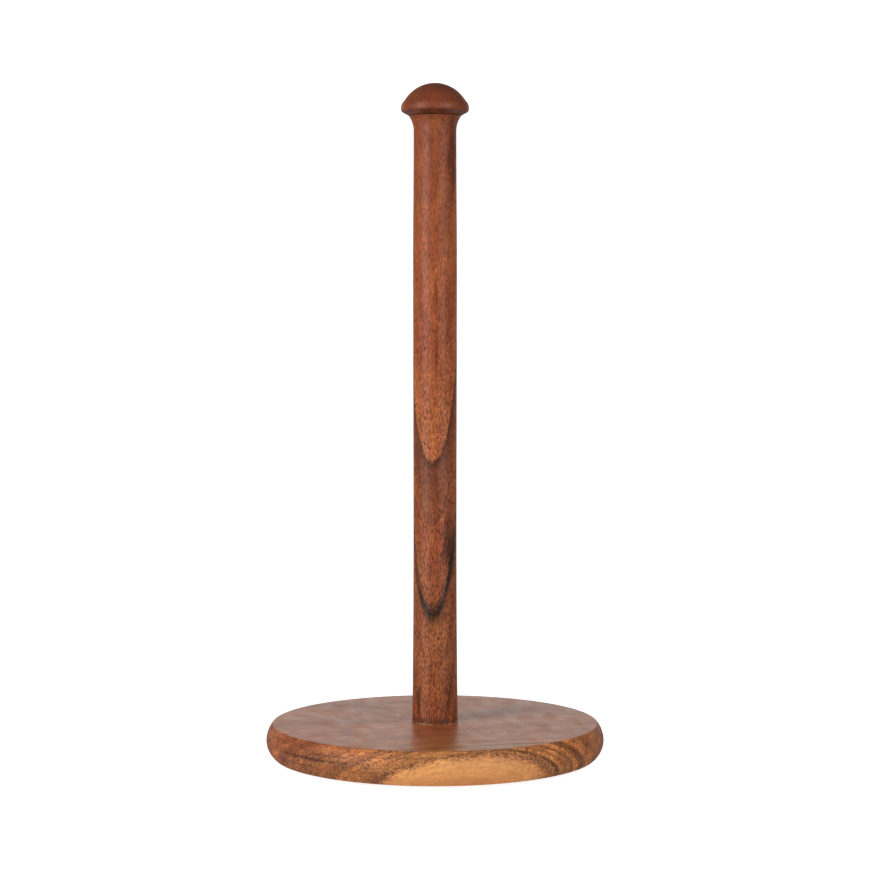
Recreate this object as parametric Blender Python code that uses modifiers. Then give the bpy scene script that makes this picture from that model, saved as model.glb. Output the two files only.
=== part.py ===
"""Paper towel holder: a turned wooden disc base, an upright post and a domed knob.

Units are metres, +Z is up. The origin is on the post's axis, in the plane of the pads' undersides. The
post's foot stands in a shallow socket in the base and is bolted up through the base into a threaded
insert, and the knob's tenon is glued into the post's top.
"""

import math

import bmesh
import bpy
from mathutils import Vector

MM = 0.001

# Gap kept between solids that touch on the real object: a film of glue, adhesive or clearance.
FIT_GAP = 0.3 * MM

# Foot pads
PAD_RADIUS = 6.0 * MM
PAD_THICKNESS = 1.5 * MM
PAD_EDGE_ROUND = 0.25 * MM
PAD_CIRCLE_RADIUS = 62.0 * MM
PAD_COUNT = 4

# Base disc, heights measured from its underside
BASE_RADIUS = 82.5 * MM
BASE_THICKNESS = 16.2 * MM
BASE_WIDEST_HEIGHT = 7.9 * MM
BASE_TOP_EDGE_INSET = 3.3 * MM
BASE_BOTTOM_EDGE_INSET = 3.8 * MM
COUNTERBORE_RADIUS = 10.5 * MM
COUNTERBORE_DEPTH = 8.0 * MM
POST_SOCKET_DEPTH = 2.0 * MM

# Post, heights measured from its foot
POST_LENGTH = 296.55 * MM
POST_FOOT_RADIUS = 11.2 * MM
POST_FOOT_CHAMFER = 0.4 * MM
POST_WAIST_RADIUS = 10.52 * MM
POST_WAIST_HEIGHT = 100.5 * MM
POST_SWELL_RADIUS = 10.73 * MM
POST_SWELL_HEIGHT = 226.5 * MM
POST_NECK_RADIUS = 10.45 * MM
POST_NECK_HEIGHT = 289.5 * MM
COVE_RADIUS = 12.5 * MM

# Knob, heights measured from the seat that meets the post
KNOB_HEIGHT = 15.75 * MM
KNOB_SEAT_RADIUS = 12.8 * MM
KNOB_RADIUS = 16.56 * MM
KNOB_UNDERSIDE_SLOPE = math.radians(29.0)
KNOB_RIM_ROUND = 1.7 * MM
KNOB_SHOULDER_HEIGHT = 3.7 * MM
KNOB_SHOULDER_ROUND = 4.46 * MM
KNOB_CROWN_RADIUS = 17.2 * MM
KNOB_CROWN_ANGLE = math.radians(51.7)
TENON_RADIUS = 6.0 * MM
TENON_LENGTH = 20.0 * MM
TENON_CHAMFER = 0.8 * MM
TENON_BORE_EXTRA_DEPTH = 1.0 * MM

# M6 fastening
BOLT_RADIUS = 3.0 * MM
BOLT_ROOT_RADIUS = 2.5 * MM
BOLT_LENGTH = 25.0 * MM
BOLT_PLAIN_LENGTH = 3.0 * MM
BOLT_RIDGE_PITCH = 1.5 * MM
BOLT_HEAD_RADIUS = 5.25 * MM
BOLT_HEAD_HEIGHT = 3.3 * MM
BOLT_HEAD_FACE_RADIUS = 3.4 * MM
HEX_ACROSS_FLATS = 4.0 * MM
HEX_DEPTH = 2.1 * MM
WASHER_RADIUS = 9.0 * MM
WASHER_THICKNESS = 1.6 * MM
INSERT_LENGTH = 15.0 * MM
INSERT_CREST_RADIUS = 5.9 * MM
INSERT_ROOT_RADIUS = 4.9 * MM
INSERT_RIDGE_PITCH = 2.5 * MM
INSERT_INSET = 0.6 * MM
INSERT_SLOT_WIDTH = 1.6 * MM
INSERT_SLOT_DEPTH = 2.2 * MM
BOLT_TIP_ROOM = 2.0 * MM

# Worked-out places
CLEARANCE_BORE_RADIUS = BOLT_RADIUS + FIT_GAP
BASE_Z = PAD_THICKNESS + FIT_GAP
COUNTERBORE_CEILING_Z = BASE_Z + COUNTERBORE_DEPTH
WASHER_Z = COUNTERBORE_CEILING_Z - FIT_GAP - WASHER_THICKNESS
BOLT_Z = WASHER_Z - FIT_GAP
POST_Z = BASE_Z + BASE_THICKNESS - POST_SOCKET_DEPTH + FIT_GAP
INSERT_Z = POST_Z + INSERT_INSET
KNOB_Z = POST_Z + POST_LENGTH + FIT_GAP

# Steps round the axis
WIDE_STEPS = 72
MEDIUM_STEPS = 48
SMALL_STEPS = 24

# Steps along the outlines
BASE_SIDE_STEPS = 6
COVE_STEPS = 7
POST_SIDE_STEPS = 16
CROWN_STEPS = 7
KNOB_ROUND_STEPS = 4
BOLT_DOME_STEPS = 5

# How far a cutter reaches past the surface it cuts
CUTTER_OVERSHOOT = 1.0 * MM

WELD_DISTANCE = 0.00002
SHARP_ANGLE = math.radians(32.0)


def clear_scene():
    """Remove every object that the file starts with."""
    for existing in list(bpy.data.objects):
        bpy.data.objects.remove(existing, do_unlink=True)


def make_collection(name):
    """Return a new collection under the scene's own."""
    collection = bpy.data.collections.new(name)
    bpy.context.scene.collection.children.link(collection)
    return collection


def make_material(name, colour, roughness, metallic=0.0):
    """Return a Principled material with one colour."""
    material = bpy.data.materials.new(name)
    material.use_nodes = True
    shader = material.node_tree.nodes["Principled BSDF"]
    shader.inputs["Base Color"].default_value = (*colour, 1.0)
    shader.inputs["Roughness"].default_value = roughness
    shader.inputs["Metallic"].default_value = metallic
    material.diffuse_color = (*colour, 1.0)
    return material


def arc(centre, radius, start, end, segments):
    """Return points on a circular arc, both ends included. Angles are in radians from +X towards +Z."""
    points = []
    for index in range(segments + 1):
        angle = start + (end - start) * index / segments
        points.append((centre[0] + radius * math.cos(angle), centre[1] + radius * math.sin(angle)))
    return points


def ridges(root_radius, crest_radius, top, bottom, pitch):
    """Return the zigzag of a ridged shank from top to bottom. The rings stand in for a helical thread."""
    count = max(1, round((top - bottom) / pitch))
    step = (top - bottom) / count
    points = []
    for index in range(count):
        points.append((root_radius, top - step * index))
        points.append((crest_radius, top - step * (index + 0.5)))
    points.append((root_radius, bottom))
    return points


def finish_mesh(piece):
    """Bake the piece's modifiers into its mesh and mark its sharp edges, with the rest shaded smooth."""
    evaluated = piece.evaluated_get(bpy.context.evaluated_depsgraph_get())
    baked = bpy.data.meshes.new_from_object(evaluated)
    baked.name = piece.name
    piece.modifiers.clear()
    piece.data = baked
    baked.shade_smooth()
    baked.set_sharp_from_angle(angle=SHARP_ANGLE)


def turned(name, profile, steps, material, collection, closed=False):
    """Return a turned solid.

    The profile is a list of (radius, height) that runs down the outer side. An open profile starts and
    ends on the axis, and a closed one goes back up the inside of a bore.
    """
    mesh = bpy.data.meshes.new(name)
    edges = [(index, index + 1) for index in range(len(profile) - 1)]
    if closed:
        edges.append((len(profile) - 1, 0))
    mesh.from_pydata([(radius, 0.0, height) for radius, height in profile], edges, [])
    piece = bpy.data.objects.new(name, mesh)
    collection.objects.link(piece)
    screw = piece.modifiers.new("Turn", "SCREW")
    screw.axis = "Z"
    screw.angle = math.tau
    screw.steps = steps
    screw.render_steps = steps
    screw.use_merge_vertices = True
    screw.merge_threshold = WELD_DISTANCE
    finish_mesh(piece)
    piece.data.materials.append(material)
    return piece


def cut(piece, cutter):
    """Take the cutter's shape out of the piece and bake the result."""
    cutter.hide_render = True
    cutter.display_type = "WIRE"
    boolean = piece.modifiers.new("Cut", "BOOLEAN")
    boolean.operation = "DIFFERENCE"
    boolean.solver = "EXACT"
    boolean.object = cutter
    finish_mesh(piece)
    cutter.hide_viewport = True


def base_profile():
    """Return the base's outline: flat top, rounded side in two arcs, underside, bolt hole and post socket."""
    top_drop = BASE_THICKNESS - BASE_WIDEST_HEIGHT
    top_radius = (top_drop ** 2 + BASE_TOP_EDGE_INSET ** 2) / (2.0 * BASE_TOP_EDGE_INSET)
    bottom_radius = (BASE_WIDEST_HEIGHT ** 2 + BASE_BOTTOM_EDGE_INSET ** 2) / (2.0 * BASE_BOTTOM_EDGE_INSET)
    top_angle = math.asin(top_drop / top_radius)
    bottom_angle = math.asin(BASE_WIDEST_HEIGHT / bottom_radius)
    top_centre = (BASE_RADIUS - top_radius, BASE_WIDEST_HEIGHT)
    bottom_centre = (BASE_RADIUS - bottom_radius, BASE_WIDEST_HEIGHT)

    post_socket_radius = POST_FOOT_RADIUS + FIT_GAP
    post_socket_floor = BASE_THICKNESS - POST_SOCKET_DEPTH

    profile = [(post_socket_radius, BASE_THICKNESS)]
    profile += arc(top_centre, top_radius, top_angle, 0.0, BASE_SIDE_STEPS)
    profile += arc(bottom_centre, bottom_radius, 0.0, -bottom_angle, BASE_SIDE_STEPS)[1:]
    profile.append((COUNTERBORE_RADIUS, 0.0))
    profile.append((COUNTERBORE_RADIUS, COUNTERBORE_DEPTH))
    profile.append((CLEARANCE_BORE_RADIUS, COUNTERBORE_DEPTH))
    profile.append((CLEARANCE_BORE_RADIUS, post_socket_floor))
    profile.append((post_socket_radius, post_socket_floor))
    return profile


def post_radius(height):
    """Return the post's radius at a height above its foot, up to the neck.

    It narrows from the foot to a waist, swells a little, and narrows again to the neck.
    """
    if height < POST_WAIST_HEIGHT:
        rise = 1.0 - height / POST_WAIST_HEIGHT
        return POST_WAIST_RADIUS + (POST_FOOT_RADIUS - POST_WAIST_RADIUS) * rise ** 2
    if height < POST_SWELL_HEIGHT:
        share = (height - POST_WAIST_HEIGHT) / (POST_SWELL_HEIGHT - POST_WAIST_HEIGHT)
        lower, upper = POST_WAIST_RADIUS, POST_SWELL_RADIUS
    else:
        share = (height - POST_SWELL_HEIGHT) / (POST_NECK_HEIGHT - POST_SWELL_HEIGHT)
        lower, upper = POST_SWELL_RADIUS, POST_NECK_RADIUS
    return lower + (upper - lower) * (1.0 - math.cos(math.pi * share)) / 2.0


def post_profile():
    """Return the post's outline, with the tenon's bore at the top and the insert's at the foot."""
    tenon_bore_radius = TENON_RADIUS + FIT_GAP
    tenon_bore_bottom = POST_LENGTH - TENON_LENGTH - TENON_BORE_EXTRA_DEPTH
    insert_bore_radius = INSERT_CREST_RADIUS + FIT_GAP
    insert_bore_top = INSERT_INSET + INSERT_LENGTH + FIT_GAP
    tip_bore_top = BOLT_Z + BOLT_LENGTH + BOLT_TIP_ROOM - POST_Z

    profile = [
        (0.0, tenon_bore_bottom),
        (tenon_bore_radius, tenon_bore_bottom),
        (tenon_bore_radius, POST_LENGTH),
    ]
    cove_angle = math.asin((POST_LENGTH - POST_NECK_HEIGHT) / COVE_RADIUS)
    cove_centre = (POST_NECK_RADIUS + COVE_RADIUS, POST_NECK_HEIGHT)
    profile += arc(cove_centre, COVE_RADIUS, math.pi - cove_angle, math.pi, COVE_STEPS)
    for index in range(1, POST_SIDE_STEPS):
        height = POST_NECK_HEIGHT + (POST_FOOT_CHAMFER - POST_NECK_HEIGHT) * index / POST_SIDE_STEPS
        profile.append((post_radius(height), height))
    profile.append((POST_FOOT_RADIUS, POST_FOOT_CHAMFER))
    profile.append((POST_FOOT_RADIUS - POST_FOOT_CHAMFER, 0.0))
    profile.append((insert_bore_radius, 0.0))
    profile.append((insert_bore_radius, insert_bore_top))
    profile.append((CLEARANCE_BORE_RADIUS, insert_bore_top))
    profile.append((CLEARANCE_BORE_RADIUS, tip_bore_top))
    profile.append((0.0, tip_bore_top))
    return profile


def knob_profile():
    """Return the knob's outline: spherical crown, straight flank, shoulder, rim, sloping underside, tenon."""
    crown_centre = (0.0, KNOB_HEIGHT - KNOB_CROWN_RADIUS)
    crown_end = math.pi / 2.0 - KNOB_CROWN_ANGLE
    shoulder_centre = (KNOB_RADIUS - KNOB_SHOULDER_ROUND, KNOB_SHOULDER_HEIGHT)
    rim_end = KNOB_UNDERSIDE_SLOPE - math.pi / 2.0
    rim_centre_x = KNOB_RADIUS - KNOB_RIM_ROUND
    rim_foot_x = rim_centre_x + KNOB_RIM_ROUND * math.cos(rim_end)
    rim_foot_z = (rim_foot_x - KNOB_SEAT_RADIUS) * math.tan(KNOB_UNDERSIDE_SLOPE)
    rim_centre = (rim_centre_x, rim_foot_z - KNOB_RIM_ROUND * math.sin(rim_end))

    profile = arc(crown_centre, KNOB_CROWN_RADIUS, math.pi / 2.0, crown_end, CROWN_STEPS)
    profile[0] = (0.0, KNOB_HEIGHT)
    profile += arc(shoulder_centre, KNOB_SHOULDER_ROUND, crown_end, 0.0, KNOB_ROUND_STEPS)
    profile += arc(rim_centre, KNOB_RIM_ROUND, 0.0, rim_end, KNOB_ROUND_STEPS)
    profile.append((KNOB_SEAT_RADIUS, 0.0))
    profile.append((TENON_RADIUS, 0.0))
    profile.append((TENON_RADIUS, TENON_CHAMFER - TENON_LENGTH))
    profile.append((TENON_RADIUS - TENON_CHAMFER, -TENON_LENGTH))
    profile.append((0.0, -TENON_LENGTH))
    return profile


def washer_profile():
    """Return the flat washer's outline."""
    return [
        (CLEARANCE_BORE_RADIUS, WASHER_THICKNESS),
        (WASHER_RADIUS, WASHER_THICKNESS),
        (WASHER_RADIUS, 0.0),
        (CLEARANCE_BORE_RADIUS, 0.0),
    ]


def bolt_profile():
    """Return the bolt's outline: chamfered tip, ridged shank, plain neck and a domed head below."""
    tip_chamfer = BOLT_RADIUS - BOLT_ROOT_RADIUS
    ridge_top = BOLT_LENGTH - tip_chamfer
    profile = [(0.0, BOLT_LENGTH), (BOLT_ROOT_RADIUS - tip_chamfer, BOLT_LENGTH)]
    profile += ridges(BOLT_ROOT_RADIUS, BOLT_RADIUS, ridge_top, BOLT_PLAIN_LENGTH, BOLT_RIDGE_PITCH)
    profile.append((BOLT_ROOT_RADIUS, 0.0))
    profile.append((BOLT_HEAD_RADIUS, 0.0))

    round_width = BOLT_HEAD_RADIUS - BOLT_HEAD_FACE_RADIUS
    for index in range(1, BOLT_DOME_STEPS + 1):
        angle = math.pi / 2.0 * index / BOLT_DOME_STEPS
        radius = BOLT_HEAD_FACE_RADIUS + round_width * math.cos(angle)
        profile.append((radius, -BOLT_HEAD_HEIGHT * math.sin(angle)))
    profile.append((0.0, -BOLT_HEAD_HEIGHT))
    return profile


def insert_profile():
    """Return the threaded insert's outline: coarse outer ridges round a straight bore."""
    profile = [(CLEARANCE_BORE_RADIUS, INSERT_LENGTH)]
    profile += ridges(INSERT_ROOT_RADIUS, INSERT_CREST_RADIUS, INSERT_LENGTH, 0.0, INSERT_RIDGE_PITCH)
    profile.append((CLEARANCE_BORE_RADIUS, 0.0))
    return profile


def make_bolt(material, collection, cutters):
    """Return the button-head bolt with its hexagon socket."""
    bolt = turned("fixing_bolt", bolt_profile(), SMALL_STEPS, material, collection)
    bpy.ops.mesh.primitive_cylinder_add(
        vertices=6,
        radius=HEX_ACROSS_FLATS / 2.0 / math.cos(math.pi / 6.0),
        depth=HEX_DEPTH + CUTTER_OVERSHOOT,
        location=(0.0, 0.0, -BOLT_HEAD_HEIGHT + (HEX_DEPTH - CUTTER_OVERSHOOT) / 2.0),
    )
    hexagon = bpy.context.active_object
    hexagon.name = "hexagon_cutter"
    move_to(hexagon, cutters)
    cut(bolt, hexagon)
    return bolt


def make_insert(material, collection, cutters):
    """Return the threaded insert with the screwdriver slot across its mouth."""
    insert = turned("threaded_insert", insert_profile(), SMALL_STEPS, material, collection, closed=True)
    slot_length = 2.0 * (INSERT_CREST_RADIUS + CUTTER_OVERSHOOT)
    slot_middle = (INSERT_SLOT_DEPTH - CUTTER_OVERSHOOT) / 2.0
    bpy.ops.mesh.primitive_cube_add(size=1.0, location=(0.0, 0.0, slot_middle))
    slot = bpy.context.active_object
    slot.name = "slot_cutter"
    slot.scale = (slot_length, INSERT_SLOT_WIDTH, INSERT_SLOT_DEPTH + CUTTER_OVERSHOOT)
    move_to(slot, cutters)
    cut(insert, slot)
    return insert


def make_pad_mesh(material):
    """Return the mesh that all foot pads share: a disc with softened edges, its underside at z = 0."""
    shape = bmesh.new()
    bmesh.ops.create_cone(
        shape,
        cap_ends=True,
        segments=SMALL_STEPS,
        radius1=PAD_RADIUS,
        radius2=PAD_RADIUS,
        depth=PAD_THICKNESS,
    )
    bmesh.ops.translate(shape, verts=shape.verts, vec=Vector((0.0, 0.0, PAD_THICKNESS / 2.0)))
    rims = [edge for edge in shape.edges if abs(edge.verts[0].co.z - edge.verts[1].co.z) < WELD_DISTANCE]
    bmesh.ops.bevel(shape, geom=rims, affect="EDGES", offset=PAD_EDGE_ROUND, segments=1, profile=0.5)
    mesh = bpy.data.meshes.new("foot_pad")
    shape.to_mesh(mesh)
    shape.free()
    mesh.shade_smooth()
    mesh.set_sharp_from_angle(angle=SHARP_ANGLE)
    mesh.materials.append(material)
    return mesh


def move_to(piece, collection):
    """Move an object out of its collections into the given one."""
    for current in list(piece.users_collection):
        current.objects.unlink(piece)
    collection.objects.link(piece)


def build():
    """Make every piece and place it under one empty."""
    clear_scene()
    holder = make_collection("paper_towel_holder")
    cutters = make_collection("cutters")

    base_wood = make_material("base_wood", (0.30, 0.13, 0.055), 0.42)
    post_wood = make_material("post_wood", (0.29, 0.10, 0.045), 0.42)
    knob_wood = make_material("knob_wood", (0.22, 0.07, 0.035), 0.40)
    zinc = make_material("zinc_plated_steel", (0.60, 0.61, 0.62), 0.32, metallic=1.0)
    brass = make_material("brass", (0.72, 0.53, 0.24), 0.34, metallic=1.0)
    felt = make_material("felt", (0.055, 0.050, 0.047), 0.95)

    root = bpy.data.objects.new("holder_root", None)
    holder.objects.link(root)

    places = {
        turned("base_disc", base_profile(), WIDE_STEPS, base_wood, holder, closed=True): BASE_Z,
        turned("post", post_profile(), MEDIUM_STEPS, post_wood, holder): POST_Z,
        turned("knob", knob_profile(), MEDIUM_STEPS, knob_wood, holder): KNOB_Z,
        turned("washer", washer_profile(), MEDIUM_STEPS, zinc, holder, closed=True): WASHER_Z,
        make_bolt(zinc, holder, cutters): BOLT_Z,
        make_insert(brass, holder, cutters): INSERT_Z,
    }
    for piece, height in places.items():
        piece.location = (0.0, 0.0, height)
        piece.parent = root

    pad_mesh = make_pad_mesh(felt)
    for index in range(PAD_COUNT):
        angle = math.tau * (index + 0.5) / PAD_COUNT
        pad = bpy.data.objects.new(f"foot_pad_{index + 1}", pad_mesh)
        pad.location = (PAD_CIRCLE_RADIUS * math.cos(angle), PAD_CIRCLE_RADIUS * math.sin(angle), 0.0)
        pad.parent = root
        holder.objects.link(pad)

    bpy.context.view_layer.update()


build()
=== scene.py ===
"""Paper towel holder in oiled acacia.

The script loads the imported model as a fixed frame, builds the finished pieces round it, dresses them in
procedural wood, metal and felt, and stands them in a plain light studio. Lengths are in metres unless a
name ends in _mm, and wood patterns are laid out in millimetres.
"""

from __future__ import annotations

import logging
import math
from collections.abc import Callable
from dataclasses import dataclass, field
from enum import Enum
from typing import ClassVar, Union

import bmesh
import bpy
from mathutils import Euler, Matrix, Vector, noise

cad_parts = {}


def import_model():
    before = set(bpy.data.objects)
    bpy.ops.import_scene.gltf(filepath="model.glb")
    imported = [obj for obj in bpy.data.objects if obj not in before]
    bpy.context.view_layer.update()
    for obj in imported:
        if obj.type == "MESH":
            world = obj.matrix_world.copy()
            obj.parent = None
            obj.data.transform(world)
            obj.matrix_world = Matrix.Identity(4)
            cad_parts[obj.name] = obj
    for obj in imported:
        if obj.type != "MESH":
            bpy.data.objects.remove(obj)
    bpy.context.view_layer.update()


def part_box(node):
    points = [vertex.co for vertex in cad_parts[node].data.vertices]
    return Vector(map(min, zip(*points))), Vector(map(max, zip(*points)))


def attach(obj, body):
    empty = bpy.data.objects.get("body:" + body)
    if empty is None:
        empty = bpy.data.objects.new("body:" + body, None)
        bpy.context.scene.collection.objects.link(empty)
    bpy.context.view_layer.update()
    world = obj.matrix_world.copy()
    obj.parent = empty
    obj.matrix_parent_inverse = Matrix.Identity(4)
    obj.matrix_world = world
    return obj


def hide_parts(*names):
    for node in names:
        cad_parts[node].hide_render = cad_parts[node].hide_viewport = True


log = logging.getLogger("towel_holder")

MM = 0.001
UP = Vector((0.0, 0.0, 1.0))
WELD = 1e-6
SLIVER = 4e-6
SHARP_DEGREES = 35.0
THREAD_DEGREES = 28.0
BODY = "root"
WHITE = (1.0, 1.0, 1.0)

Colour = tuple[float, float, float]
Socket = bpy.types.NodeSocket
Sockets = tuple[Socket, ...]
Feed = Union[float, Colour, Socket]


class Steps(Enum):
    """Facets round the axis, by how large a turned piece is."""

    LARGE = 256
    MEDIUM = 160
    SMALL = 64


class Slot(Enum):
    """The record's material slots."""

    BASE_WOOD = "base_wood"
    POST_WOOD = "post_wood"
    KNOB_WOOD = "knob_wood"
    ZINC = "zinc"
    BRASS = "brass"
    FELT = "felt"


def tone(red: int, green: int, blue: int) -> Colour:
    """Turn a display colour into scene-linear values.

    Args:
        red: Display red, 0 to 255.
        green: Display green, 0 to 255.
        blue: Display blue, 0 to 255.

    Returns:
        The linear red, green and blue.
    """

    def linear(level: int) -> float:
        """Undo the display curve for one channel."""
        share = level / 255.0
        return share / 12.92 if share <= 0.04045 else ((share + 0.055) / 1.055) ** 2.4

    return linear(red), linear(green), linear(blue)


# --------------------------------------------------------------------------------------------------------
# Node trees
# --------------------------------------------------------------------------------------------------------


class Sheet:
    """A node tree with short calls that place and wire its nodes."""

    def __init__(self, tree: bpy.types.NodeTree) -> None:
        """Keep the tree that the calls work on."""
        self.tree = tree

    def add(self, kind: str, feeds: dict[str, Feed] | None = None, **settings: object) -> bpy.types.Node:
        """Place a node.

        Args:
            kind: The node's Blender type, without its "ShaderNode" prefix.
            feeds: What goes into its sockets, by socket name.
            **settings: Properties to set on the node.

        Returns:
            The new node.
        """
        node = self.tree.nodes.new("ShaderNode" + kind)
        for name, value in settings.items():
            setattr(node, name, value)
        for name, value in (feeds or {}).items():
            self.feed(node.inputs[name], value)
        return node

    def feed(self, socket: Socket, value: Feed) -> None:
        """Wire a socket to another socket, or set it to a plain value."""
        if isinstance(value, Socket):
            self.tree.links.new(value, socket)
        elif isinstance(value, tuple) and socket.type == "RGBA":
            socket.default_value = (*value, 1.0)
        else:
            socket.default_value = value

    def math(self, operation: str, *values: Feed, clamp: bool = False) -> Socket:
        """Return the output of a Math node fed with the given values in order."""
        node = self.add("Math", operation=operation, use_clamp=clamp)
        for socket, value in zip(node.inputs, values):
            self.feed(socket, value)
        return node.outputs[0]

    def vector(self, operation: str, *values: Feed) -> Socket:
        """Return the output of a Vector Math node fed with the given values in order."""
        node = self.add("VectorMath", operation=operation)
        for socket, value in zip(node.inputs, values):
            self.feed(socket, value)
        return node.outputs["Value" if operation in ("LENGTH", "DOT_PRODUCT") else "Vector"]

    def times(self, first: Feed, second: Feed) -> Socket:
        """Return the product of two values."""
        return self.math("MULTIPLY", first, second)

    def times_add(self, first: Feed, second: Feed, added: Feed, clamp: bool = False) -> Socket:
        """Return the product of two values with a third added."""
        return self.math("MULTIPLY_ADD", first, second, added, clamp=clamp)

    def stretch(self, vector: Feed, along: float, across: float, height: float) -> Socket:
        """Return the vector with each axis divided by a length, so that a pattern has those sizes."""
        sizes = (1.0 / along, 1.0 / across, 1.0 / height)
        return self.vector("MULTIPLY", vector, sizes)

    def noise(self, vector: Feed, detail: float = 2.0, roughness: float = 0.5) -> bpy.types.Node:
        """Return a 3D noise node with features about one unit across."""
        feeds = {"Vector": vector, "Scale": 1.0, "Detail": detail, "Roughness": roughness}
        return self.add("TexNoise", feeds, noise_dimensions="3D")

    def smooth(self, value: Feed, low: float, high: float, first: float = 0.0, last: float = 1.0) -> Socket:
        """Return the value eased from first to last as it goes from low to high."""
        feeds = {"Value": value, "From Min": low, "From Max": high, "To Min": first, "To Max": last}
        return self.add("MapRange", feeds, interpolation_type="SMOOTHSTEP").outputs["Result"]

    def mix(self, share: Feed, first: Feed, second: Feed) -> Socket:
        """Return two colours mixed, by a share that may change over the surface."""
        node = self.add("Mix", data_type="RGBA", blend_type="MIX", clamp_factor=True)
        self.feed(node.inputs[0], share)
        self.feed(node.inputs[6], first)
        self.feed(node.inputs[7], second)
        return node.outputs[2]

    def swing(self, value: Feed, depth: float, middle: Feed = 1.0) -> Socket:
        """Return a value that swings by depth each way about a middle as a noise value goes from 0 to 1."""
        return self.times_add(self.math("SUBTRACT", value, 0.5), 2.0 * depth, middle)

    def millimetres(self) -> Socket:
        """Return the place on the object in millimetres."""
        feeds = {"Vector": self.add("TexCoord").outputs["Object"], "Scale": (1.0 / MM, 1.0 / MM, 1.0 / MM)}
        return self.add("Mapping", feeds).outputs["Vector"]

    def bump(self, height: Feed, strength: float, distance: float) -> Socket:
        """Return the surface's normal, tilted by a height."""
        feeds = {"Height": height, "Strength": strength, "Distance": distance}
        return self.add("Bump", feeds).outputs["Normal"]


def start_material(name: str) -> tuple[bpy.types.Material, Sheet, bpy.types.NodeInputs]:
    """Return a new material, a sheet over its nodes, and the inputs of its Principled shader."""
    material = bpy.data.materials.new(name)
    material.use_nodes = True
    return material, Sheet(material.node_tree), material.node_tree.nodes["Principled BSDF"].inputs


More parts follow.
